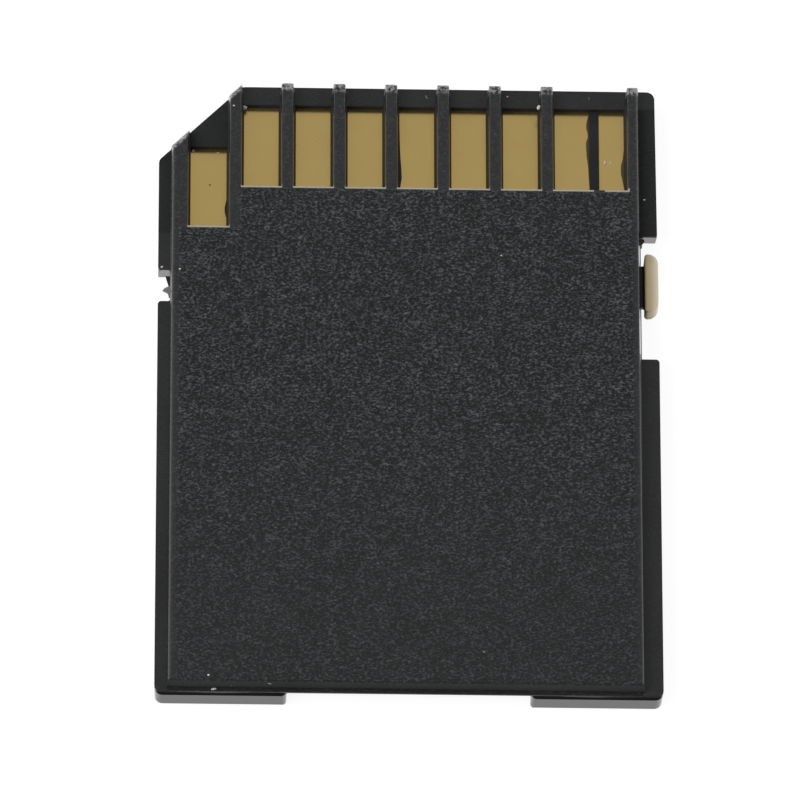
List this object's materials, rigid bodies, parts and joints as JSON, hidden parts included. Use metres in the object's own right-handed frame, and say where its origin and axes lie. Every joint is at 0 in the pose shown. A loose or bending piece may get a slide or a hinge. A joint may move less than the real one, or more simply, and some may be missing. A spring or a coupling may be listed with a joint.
{
  "type": "memory card adapter",
  "caption": "Flat full-size card sleeve with a slot for a smaller memory card, gold terminals behind ribs, a cut corner and a sliding write-protect lock.",
  "frame": {"origin": "centre of the body's outline, on the plane that its label side rests on", "axes": "+Z out of the contact side, +Y towards the contact edge, +X towards the lock slider's edge"},
  "size_m": [0.024, 0.032, 0.0021],
  "materials": {
    "contact_shell": "moulded, spark-eroded texture on the plateau, smooth ledges",
    "label_shell": "moulded, smooth",
    "slider": "moulded, smooth, beige",
    "terminals": "stamped copper alloy, gold plated"
  },
  "bodies": {
    "sleeve": {"contact_side_shell": "contact_shell", "label_side_shell": "label_shell", "terminal_1": "terminals", "terminal_2": "terminals", "ground_terminal": "terminals", "terminal_4": "terminals", "terminal_5": "terminals", "terminal_7": "terminals", "terminal_8": "terminals", "terminal_9": "terminals"},
    "lock": {"lock_slider": "slider"}
  },
  "joints": [
    {"name": "lock_slide", "type": "slide", "parent": "sleeve", "child": "lock", "axis": [0, -1, 0], "range_m": [0, 0.002]}
  ]
}
